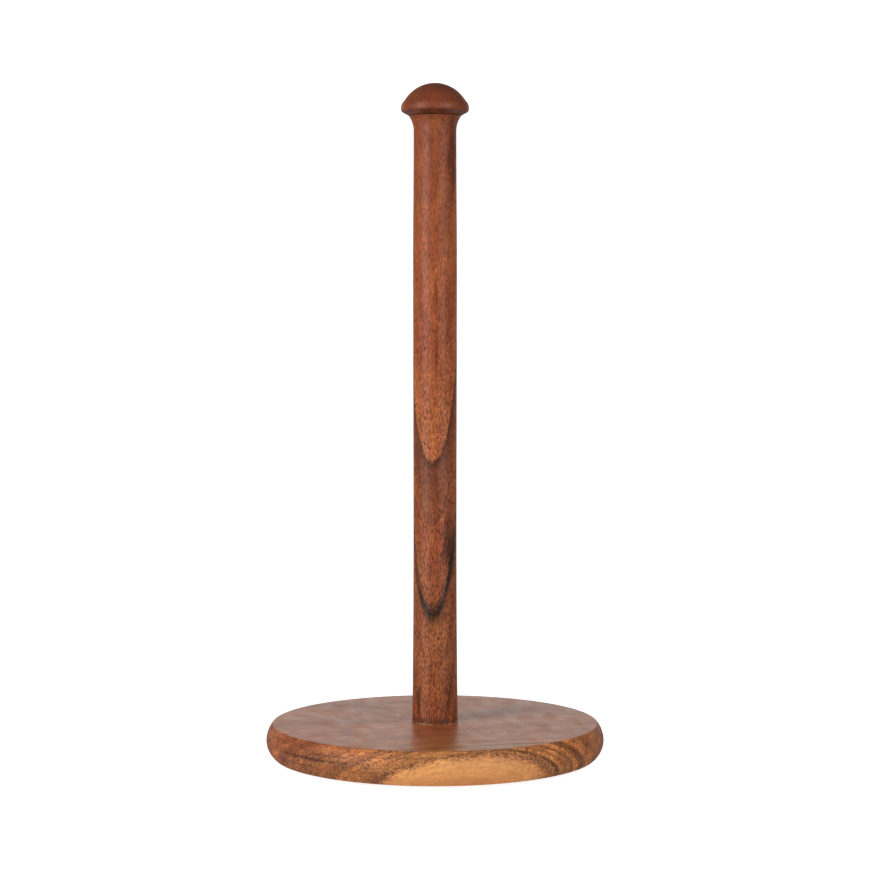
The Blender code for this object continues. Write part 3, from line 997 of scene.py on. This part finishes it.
def unevenness(place: Vector, size: float, depth: float) -> float:
    """Return how far hand sanding has dipped a surface at a place.

    Args:
        place: The point, in metres.
        size: Width of a dip.
        depth: The deepest dip.

    Returns:
        A depth from zero to the deepest.
    """
    return depth * (0.5 + 0.5 * noise.noise(place / size))


def sand(shape: bmesh.types.BMesh, size: float, depth: float, low: float, high: float) -> None:
    """Dip the outer side of a turned shape here and there, between two heights.

    Args:
        shape: The turned shape.
        size: Width of a dip.
        depth: The deepest dip.
        low: Lowest height that is sanded.
        high: Highest height that is sanded.
    """
    for vert in shape.verts:
        if low < vert.co.z < high and vert.normal.xy.dot(vert.co.xy) > 0.0:
            vert.co -= vert.normal * unevenness(vert.co, size, depth)


# --------------------------------------------------------------------------------------------------------
# Sub-assemblies
# --------------------------------------------------------------------------------------------------------


@dataclass
class Turned:
    """A turned wooden piece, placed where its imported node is."""

    node: ClassVar[str]
    low: Vector = field(init=False)
    high: Vector = field(init=False)

    def __post_init__(self) -> None:
        """Read the piece's place from the frame."""
        self.low, self.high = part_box(self.node)


@dataclass
class Base(Turned):
    """The turned foot: a flat disc with a crisp top edge and a rounded side."""

    node: ClassVar[str] = "base_disc"
    top_inset: float = 3.3 * MM
    bottom_inset: float = 3.8 * MM
    widest_height: float = 7.9 * MM
    edge_softening: float = 0.35 * MM
    arris_drop: float = 0.02 * MM
    crown_width: float = 17.0 * MM
    crown_drop: float = 0.14 * MM
    bolt_hole_radius: float = 3.3 * MM
    counterbore_radius: float = 10.5 * MM
    counterbore_depth: float = 8.0 * MM
    socket_radius: float = 11.32 * MM
    socket_depth: float = 2.0 * MM

    def outline(self) -> Lathe:
        """Draw the disc's half outline, from the socket's rim outwards and back up the bolt hole."""
        radius = self.high.x
        underside = self.low.z
        top = self.high.z
        widest = underside + self.widest_height
        rise = top - widest
        top_radius = (rise**2 + self.top_inset**2) / (2.0 * self.top_inset)
        bottom_radius = (self.widest_height**2 + self.bottom_inset**2) / (2.0 * self.bottom_inset)
        top_sweep = math.degrees(math.asin(rise / top_radius))
        bottom_sweep = math.degrees(math.asin(self.widest_height / bottom_radius))
        soft = self.edge_softening

        lathe = Lathe(self.socket_radius, top - soft)
        lathe.arc((self.socket_radius + soft, top - soft), 90.0, 4)
        lathe.line(radius - self.top_inset - soft, top, rings=24)
        lathe.line(radius - self.top_inset, top - self.arris_drop)
        lathe.arc((radius - top_radius, widest), top_sweep, 24)
        lathe.arc((radius - bottom_radius, widest), bottom_sweep, 24)
        lathe.line(self.counterbore_radius + soft, underside, rings=12)
        lathe.arc((self.counterbore_radius + soft, underside + soft), 90.0, 4)
        lathe.line(self.counterbore_radius, underside + self.counterbore_depth, rings=2)
        lathe.line(self.bolt_hole_radius, underside + self.counterbore_depth)
        lathe.line(self.bolt_hole_radius, top - self.socket_depth)
        lathe.line(self.socket_radius, top - self.socket_depth)
        crown_start = radius - self.top_inset - self.crown_width
        for vert in lathe.shape.verts:
            if vert.co.x > crown_start and vert.co.z > top - 0.1 * MM:
                vert.co.z -= self.crown_drop * ((vert.co.x - crown_start) / self.crown_width) ** 2
        return lathe

    def build(self, material: bpy.types.Material) -> bpy.types.Object:
        """Turn the disc and dress it."""
        shape = self.outline().turn(Steps.LARGE, closed=True)
        return Piece.finish("turned_base", shape, material, Slot.BASE_WOOD, (self.node,))


@dataclass
class Post(Turned):
    """The turned upright: a slim shank, wider at its foot, with a cove that flares under the knob."""

    node: ClassVar[str] = "post"
    foot_radius: float = 11.2 * MM
    foot_chamfer: float = 0.5 * MM
    waist_radius: float = 10.52 * MM
    waist_height: float = 100.5 * MM
    swell_radius: float = 10.73 * MM
    swell_height: float = 226.5 * MM
    neck_radius: float = 10.45 * MM
    neck_height: float = 289.5 * MM
    cove_radius: float = 12.5 * MM
    tenon_bore_radius: float = 6.15 * MM
    tenon_bore_depth: float = 21.0 * MM
    insert_bore_radius: float = 6.05 * MM
    insert_bore_depth: float = 15.9 * MM
    tip_bore_radius: float = 3.3 * MM
    tip_clearance: float = 2.0 * MM
    dip_width: float = 14.0 * MM
    dip_depth: float = 0.05 * MM

    def radius_at(self, height: float) -> float:
        """Return the shank's radius at a height above its foot."""
        if height < self.waist_height:
            rise = 1.0 - height / self.waist_height
            return self.waist_radius + (self.foot_radius - self.waist_radius) * rise**2
        if height < self.swell_height:
            share = (height - self.waist_height) / (self.swell_height - self.waist_height)
            lower, upper = self.waist_radius, self.swell_radius
        else:
            share = (height - self.swell_height) / (self.neck_height - self.swell_height)
            lower, upper = self.swell_radius, self.neck_radius
        return lower + (upper - lower) * (1.0 - math.cos(math.pi * share)) / 2.0

    def outline(self) -> Lathe:
        """Draw the post's half outline, from the tenon bore's floor round to the bolt tip's bore."""
        foot = self.low.z
        top = self.high.z
        neck = foot + self.neck_height
        cove_sweep = math.degrees(math.asin((top - neck) / self.cove_radius))
        flare = self.neck_radius + self.cove_radius * (1.0 - math.cos(math.radians(cove_sweep)))
        _, bolt_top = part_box("fixing_bolt")

        lathe = Lathe(0.0, top - self.tenon_bore_depth)
        lathe.line(self.tenon_bore_radius, top - self.tenon_bore_depth)
        lathe.line(self.tenon_bore_radius, top)
        lathe.line(flare, top)
        lathe.arc((self.neck_radius + self.cove_radius, neck), -cove_sweep, 20)
        lathe.line(self.foot_radius, foot + self.foot_chamfer, rings=140)
        lathe.line(self.foot_radius - self.foot_chamfer, foot)
        lathe.line(self.insert_bore_radius, foot)
        lathe.line(self.insert_bore_radius, foot + self.insert_bore_depth)
        lathe.line(self.tip_bore_radius, foot + self.insert_bore_depth)
        lathe.line(self.tip_bore_radius, bolt_top.z + self.tip_clearance)
        lathe.line(0.0, bolt_top.z + self.tip_clearance)
        for vert in lathe.shape.verts:
            height = vert.co.z - foot
            if vert.co.x > self.neck_radius - MM and self.foot_chamfer < height < self.neck_height:
                vert.co.x = self.radius_at(height)
        return lathe

    def build(self, material: bpy.types.Material) -> bpy.types.Object:
        """Turn the post, sand it and dress it."""
        shape = self.outline().turn(Steps.MEDIUM)
        sand(shape, self.dip_width, self.dip_depth, self.low.z + 3.0 * MM, self.high.z - MM)
        return Piece.finish("turned_post", shape, material, Slot.POST_WOOD, (self.node,))


@dataclass
class Knob(Turned):
    """The domed cap with its glued tenon."""

    node: ClassVar[str] = "knob"
    seat_radius: float = 12.8 * MM
    underside_degrees: float = 29.0
    rim_round: float = 1.7 * MM
    shoulder_height: float = 3.7 * MM
    shoulder_round: float = 4.46 * MM
    crown_radius: float = 17.2 * MM
    crown_degrees: float = 51.7
    tenon_radius: float = 6.0 * MM
    tenon_chamfer: float = 0.8 * MM
    height: float = 15.75 * MM
    dip_width: float = 9.0 * MM
    dip_depth: float = 0.06 * MM

    def outline(self) -> Lathe:
        """Draw the knob's half outline: crown, flank, shoulder, rim, underside and tenon."""
        radius = self.high.x
        top = self.high.z
        seat = top - self.height
        slope = math.radians(self.underside_degrees)
        rim_x = radius - self.rim_round
        rim_foot_x = rim_x + self.rim_round * math.sin(slope)
        rim_z = seat + (rim_foot_x - self.seat_radius) * math.tan(slope) + self.rim_round * math.cos(slope)
        shoulder = (radius - self.shoulder_round, seat + self.shoulder_height)
        turned = math.radians(self.crown_degrees)
        flank_foot_x = shoulder[0] + self.shoulder_round * math.sin(turned)
        flank_foot_z = shoulder[1] + self.shoulder_round * math.cos(turned)

        lathe = Lathe(0.0, top)
        lathe.arc((0.0, top - self.crown_radius), self.crown_degrees, 26)
        lathe.line(flank_foot_x, flank_foot_z, rings=3)
        lathe.arc(shoulder, 90.0 - self.crown_degrees, 8)
        lathe.line(radius, rim_z)
        lathe.arc((rim_x, rim_z), 90.0 - self.underside_degrees, 12)
        lathe.line(self.seat_radius, seat, rings=3)
        lathe.line(self.tenon_radius, seat)
        lathe.line(self.tenon_radius, self.low.z + self.tenon_chamfer)
        lathe.line(self.tenon_radius - self.tenon_chamfer, self.low.z)
        lathe.line(0.0, self.low.z)
        return lathe

    def build(self, material: bpy.types.Material) -> bpy.types.Object:
        """Turn the knob, sand it and dress it."""
        shape = self.outline().turn(Steps.MEDIUM)
        seat = self.high.z - self.height
        sand(shape, self.dip_width, self.dip_depth, seat + MM, self.high.z - 0.5 * MM)
        return Piece.finish("turned_knob", shape, material, Slot.KNOB_WOOD, (self.node,))


@dataclass
class Thread:
    """A helical thread, raised by moving the rings of a straight shank outwards.

    Attributes:
        root: Radius at the bottom of the thread.
        crest: Radius at its top.
        pitch: Height that one turn climbs.
        low: Height where it starts.
        high: Height where it ends.
    """

    root: float
    crest: float
    pitch: float
    low: float
    high: float
    near: ClassVar[float] = 0.2 * MM

    def depth_at(self, place: Vector) -> float:
        """Return the thread's share of full depth at a place, from 0 at the root to 1 at the crest."""
        turn = math.atan2(place.y, place.x) / math.tau
        phase = ((place.z - self.low) / self.pitch - turn) % 1.0
        wedge = 1.0 - abs(2.0 * phase - 1.0)
        fade = min(1.0, (place.z - self.low) / self.pitch, (self.high - place.z) / self.pitch)
        return max(0.0, min(1.0, 1.3 * wedge - 0.15)) * max(0.0, fade)

    def cut(self, shape: bmesh.types.BMesh) -> None:
        """Move the verts of the shank on to the thread."""
        for vert in shape.verts:
            radius = vert.co.xy.length
            if not self.low < vert.co.z < self.high or abs(radius - self.root) > self.near:
                continue
            target = self.root + (self.crest - self.root) * self.depth_at(vert.co)
            vert.co.xy *= target / radius


@dataclass
class Fixing:
    """The bolt, washer and threaded insert that hold the post on."""

    thread_root: float = 2.46 * MM
    thread_crest: float = 2.98 * MM
    thread_pitch: float = 1.0 * MM
    thread_runout: float = 2.0 * MM
    tip_chamfer: float = 0.5 * MM
    collar_height: float = 0.4 * MM
    head_face_radius: float = 3.4 * MM
    head_height: float = 3.3 * MM
    hex_radius: float = 2.31 * MM
    hex_depth: float = 2.1 * MM
    washer_hole_radius: float = 3.2 * MM
    washer_round: float = 0.2 * MM
    insert_root: float = 5.0 * MM
    insert_pitch: float = 2.5 * MM
    insert_inset: float = 0.02 * MM
    insert_lead_in: float = 0.4 * MM
    insert_lead_out: float = 0.2 * MM
    insert_bore: float = 3.2 * MM
    slot_width: float = 1.6 * MM
    slot_depth: float = 2.2 * MM

    def bolt(self, material: bpy.types.Material) -> bpy.types.Object:
        """Turn the bolt, cut its thread and sink the hexagon in its head."""
        low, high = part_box("fixing_bolt")
        collar = low.z + self.head_height
        head_radius = high.x
        dome = head_radius - self.head_face_radius

        lathe = Lathe(0.0, high.z)
        lathe.line(self.thread_root - self.tip_chamfer, high.z)
        lathe.line(self.thread_root, high.z - self.tip_chamfer)
        lathe.line(self.thread_root, collar + self.collar_height, rings=190)
        lathe.line(self.thread_root + 0.2 * MM, collar)
        lathe.line(head_radius, collar)
        lathe.line(head_radius, collar - self.collar_height)
        lathe.line(head_radius - 0.32 * dome, collar - 0.62 * self.head_height, rings=2)
        lathe.line(self.head_face_radius, low.z)
        lathe.line(0.0, low.z)
        shape = lathe.turn(Steps.SMALL)
        start, end = collar + self.thread_runout, high.z - self.tip_chamfer
        Thread(self.thread_root, self.thread_crest, self.thread_pitch, start, end).cut(shape)
        bolt = Piece.finish("machine_bolt", shape, material, Slot.ZINC, ("fixing_bolt",), THREAD_DEGREES)

        hexagon = bmesh.new()
        bmesh.ops.create_cone(
            hexagon,
            cap_ends=True,
            segments=6,
            radius1=self.hex_radius,
            radius2=self.hex_radius,
            depth=2.0 * self.hex_depth,
        )
        bmesh.ops.translate(hexagon, verts=hexagon.verts[:], vec=low.z * UP)
        self.carve(bolt, hexagon)
        return bolt

    def washer(self, material: bpy.types.Material) -> bpy.types.Object:
        """Turn the washer with its punched, slightly rounded edges."""
        low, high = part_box("washer")
        radius = high.x
        soft = self.washer_round
        lathe = Lathe(self.washer_hole_radius + soft, high.z)
        lathe.line(radius - soft, high.z, rings=4)
        lathe.arc((radius - soft, high.z - soft), 90.0, 4)
        lathe.line(radius, low.z + soft)
        lathe.line(radius - soft, low.z)
        lathe.line(self.washer_hole_radius + soft, low.z, rings=4)
        lathe.line(self.washer_hole_radius, low.z + soft)
        lathe.line(self.washer_hole_radius, high.z - soft)
        shape = lathe.turn(Steps.SMALL, closed=True)
        return Piece.finish("flat_washer", shape, material, Slot.ZINC, ("washer",))

    def insert(self, material: bpy.types.Material) -> bpy.types.Object:
        """Turn the insert, cut its outer thread and saw the slot across its mouth."""
        low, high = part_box("threaded_insert")
        lathe = Lathe(self.insert_bore, high.z)
        lathe.line(self.insert_root, high.z)
        lathe.line(self.insert_root, low.z, rings=110)
        lathe.line(self.insert_bore, low.z)
        shape = lathe.turn(Steps.SMALL, closed=True)
        crest = high.x - self.insert_inset
        start, end = low.z + self.insert_lead_in, high.z - self.insert_lead_out
        Thread(self.insert_root, crest, self.insert_pitch, start, end).cut(shape)
        stands_for = ("threaded_insert",)
        insert = Piece.finish("wood_insert", shape, material, Slot.BRASS, stands_for, THREAD_DEGREES)

        slot = bmesh.new()
        bmesh.ops.create_cube(slot, size=1.0)
        size = Vector((4.0 * high.x, self.slot_width, 2.0 * self.slot_depth))
        bmesh.ops.scale(slot, verts=slot.verts[:], vec=size)
        bmesh.ops.translate(slot, verts=slot.verts[:], vec=low.z * UP)
        self.carve(insert, slot)
        return insert

    @staticmethod
    def carve(piece: bpy.types.Object, shape: bmesh.types.BMesh) -> None:
        """Take a shape out of a piece, and clear the slivers that the cut leaves.

        Args:
            piece: The piece to cut.
            shape: The cutter, in place. It is used up.
        """
        cutter = add_object("cutter", store_mesh("cutter", shape))
        boolean = piece.modifiers.new("Carve", "BOOLEAN")
        boolean.operation = "DIFFERENCE"
        boolean.solver = "EXACT"
        boolean.object = cutter
        graph = bpy.context.evaluated_depsgraph_get()
        carved = bpy.data.meshes.new_from_object(piece.evaluated_get(graph))
        clean = bmesh.new()
        clean.from_mesh(carved)
        bmesh.ops.remove_doubles(clean, verts=clean.verts[:], dist=SLIVER)
        bmesh.ops.dissolve_degenerate(clean, edges=clean.edges[:], dist=SLIVER)
        bmesh.ops.triangulate(clean, faces=clean.faces[:])
        bmesh.ops.dissolve_degenerate(clean, edges=clean.edges[:], dist=SLIVER)
        clean.to_mesh(carved)
        clean.free()
        piece.modifiers.clear()
        piece.data = carved
        shade(carved, THREAD_DEGREES)
        bpy.data.objects.remove(cutter)

    def build(self, zinc: bpy.types.Material, brass: bpy.types.Material) -> None:
        """Make the three metal pieces."""
        self.bolt(zinc)
        self.washer(zinc)
        self.insert(brass)


@dataclass
class FootPads:
    """The felt pads, each on its film of adhesive against the base."""

    count: int = 4
    rim_round: float = 0.35 * MM
    fluff: float = 0.05 * MM
    tuft: float = 0.5 * MM

    def build(self, material: bpy.types.Material) -> None:
        """Make every pad where its node is."""
        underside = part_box("base_disc")[0].z
        for number in range(1, self.count + 1):
            node = f"foot_pad_{number}"
            low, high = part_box(node)
            centre = (low + high) / 2.0
            radius = (high.x - low.x) / 2.0 - self.fluff
            lathe = Lathe(0.0, underside)
            lathe.line(radius, underside, rings=4)
            lathe.line(radius, low.z + self.rim_round, rings=5)
            lathe.arc((radius - self.rim_round, low.z + self.rim_round), 90.0, 5)
            lathe.line(0.0, low.z, rings=4)
            shape = lathe.turn(Steps.SMALL)
            for vert in shape.verts:
                if vert.co.xy.length > 0.5 * radius and vert.co.z > low.z + 0.1 * MM:
                    vert.co.xy *= 1.0 + self.fluff / radius * noise.noise(vert.co / self.tuft)
            bmesh.ops.translate(shape, verts=shape.verts[:], vec=Vector((centre.x, centre.y, 0.0)))
            Piece.finish(f"felt_pad_{number}", shape, material, Slot.FELT, (node,))


@dataclass
class JointLine:
    """The hairline of set finish that gathers where the post enters the base."""

    inner_radius: float = 11.05 * MM
    width: float = 0.75 * MM
    proud: float = 0.62 * MM
    rooted: float = 0.5 * MM
    clot_width: float = 3.0 * MM

    def build(self, material: bpy.types.Material) -> bpy.types.Object:
        """Turn the bead and dress it."""
        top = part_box("base_disc")[1].z
        lathe = Lathe(self.inner_radius, top - self.rooted)
        lathe.line(self.inner_radius, top + self.proud)
        lathe.line(self.inner_radius + 0.3 * self.width, top + self.proud)
        lathe.line(self.inner_radius + 0.55 * self.width, top + 0.55 * self.proud)
        lathe.line(self.inner_radius + self.width, top + 0.08 * self.proud)
        lathe.line(self.inner_radius + self.width, top - self.rooted)
        shape = lathe.turn(Steps.MEDIUM, closed=True)
        for vert in shape.verts:
            if vert.co.z > top:
                clot = noise.noise(vert.co / self.clot_width)
                vert.co.z -= 0.45 * self.proud * max(0.0, min(1.0, 0.5 + clot))
        return Piece.finish("joint_bead", shape, material, Slot.BASE_WOOD, ())


# --------------------------------------------------------------------------------------------------------
# Studio
# --------------------------------------------------------------------------------------------------------


@dataclass(frozen=True)
class Softbox:
    """A softbox: degrees round from the camera's side (positive to the right), width, height and power."""

    name: str
    azimuth: float
    width: float
    height: float
    watts: float


@dataclass
class Studio:
    """The pale floor, the light tent and the camera."""

    camera_distance: float = 1.0954
    camera_height: float = 0.2084
    camera_drop_degrees: float = 2.708
    lens_mm: float = 93.1
    sensor_mm: float = 36.0
    floor_radius: float = 40.0
    floor_glow: float = 0.75
    floor_fill: float = 0.12
    backdrop: float = 1.10
    ambient: float = 0.18
    glow_degrees: tuple[float, float] = (8.0, 34.0)
    behind_degrees: tuple[float, float] = (48.0, 22.0)
    tent_colour: Colour = (1.0, 0.94, 0.89)
    lamp_height: float = 0.42
    lamp_distance: float = 1.15
    target_height: float = 0.17
    softboxes: tuple[Softbox, ...] = (
        Softbox("left_softbox", -50.0, 0.42, 0.95, 10.6),
        Softbox("right_softbox", 43.0, 0.24, 0.95, 5.6),
    )

    def build(self) -> None:
        """Set the floor, the surroundings, the lamps and the camera."""
        self._floor()
        self._surroundings()
        for softbox in self.softboxes:
            self._hang(softbox)
        self._camera()

    def _floor(self) -> None:
        """Lay the floor, a pale lit table top."""
        shape = bmesh.new()
        bmesh.ops.create_circle(shape, cap_ends=True, segments=96, radius=self.floor_radius)
        mesh = store_mesh("table_top", shape)
        material, sheet, inputs = start_material("pale_table")
        inputs["Base Color"].default_value = (0.72, 0.72, 0.72, 1.0)
        inputs["Roughness"].default_value = 0.8
        inputs["Emission Color"].default_value = (*WHITE, 1.0)
        seen = sheet.add("LightPath").outputs["Is Camera Ray"]
        glow = sheet.times_add(seen, self.floor_glow, self.floor_fill)
        sheet.feed(inputs["Emission Strength"], glow)
        mesh.materials.append(material)
        add_object("table_top", mesh)

    def _surroundings(self) -> None:
        """Light the tent: white round the horizon and dim overhead."""
        world = bpy.data.worlds.new("light_tent")
        world.use_nodes = True
        bpy.context.scene.world = world
        sheet = Sheet(world.node_tree)
        direction = sheet.add("TexCoord").outputs["Generated"]
        facing = sheet.add("SeparateXYZ", {"Vector": direction})
        full, gone = (math.sin(math.radians(degrees)) for degrees in self.glow_degrees)
        low = sheet.smooth(facing.outputs["Z"], full, gone, 1.0, 0.0)
        edge, middle = (math.cos(math.radians(degrees)) for degrees in self.behind_degrees)
        behind = sheet.smooth(facing.outputs["Y"], edge, middle)
        level = sheet.times_add(sheet.times(low, behind), self.backdrop, self.ambient)
        seen = sheet.add("LightPath").outputs["Is Camera Ray"]
        background = world.node_tree.nodes["Background"]
        sheet.feed(background.inputs["Strength"], sheet.math("MAXIMUM", seen, level))
        sheet.feed(background.inputs["Color"], sheet.mix(seen, self.tent_colour, WHITE))

    def _hang(self, softbox: Softbox) -> None:
        """Hang one softbox, turned to the middle of the post."""
        data = bpy.data.lights.new(softbox.name, "AREA")
        data.shape = "RECTANGLE"
        data.size, data.size_y = softbox.width, softbox.height
        data.energy = softbox.watts
        angle = math.radians(softbox.azimuth)
        reach = self.lamp_distance
        lamp = add_object(softbox.name, data)
        lamp.location = Vector((math.sin(angle) * reach, -math.cos(angle) * reach, self.lamp_height))
        target = Vector((0.0, 0.0, self.target_height))
        lamp.rotation_euler = (target - lamp.location).to_track_quat("-Z", "Y").to_euler()

    def _camera(self) -> None:
        """Set the camera in front, a little above the middle of the post, looking slightly down."""
        data = bpy.data.cameras.new("front_camera")
        data.sensor_width = self.sensor_mm
        data.lens = self.lens_mm
        data.clip_start = 0.01
        data.clip_end = 2.0 * self.floor_radius
        camera = add_object("front_camera", data)
        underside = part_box("base_disc")[0].z
        camera.location = (0.0, -self.camera_distance, underside + self.camera_height)
        camera.rotation_euler = Euler((math.radians(90.0 - self.camera_drop_degrees), 0.0, 0.0))
        bpy.context.scene.camera = camera


def main() -> None:
    """Load the frame, build every piece in order and set the studio."""
    logging.basicConfig(level=logging.INFO, format="%(name)s: %(message)s")
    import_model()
    bpy.context.scene.view_settings.view_transform = "Standard"

    effects = Effects()
    Base().build(BASE_WOOD.material(effects))
    Post().build(POST_WOOD.material(effects))
    Knob().build(KNOB_WOOD.material(effects))
    JointLine().build(BEAD.material(effects))
    Fixing().build(ZINC.material(effects), BRASS.material(effects))
    FootPads().build(FELT.material(effects))
    Studio().build()


if __name__ == "__main__":
    main()
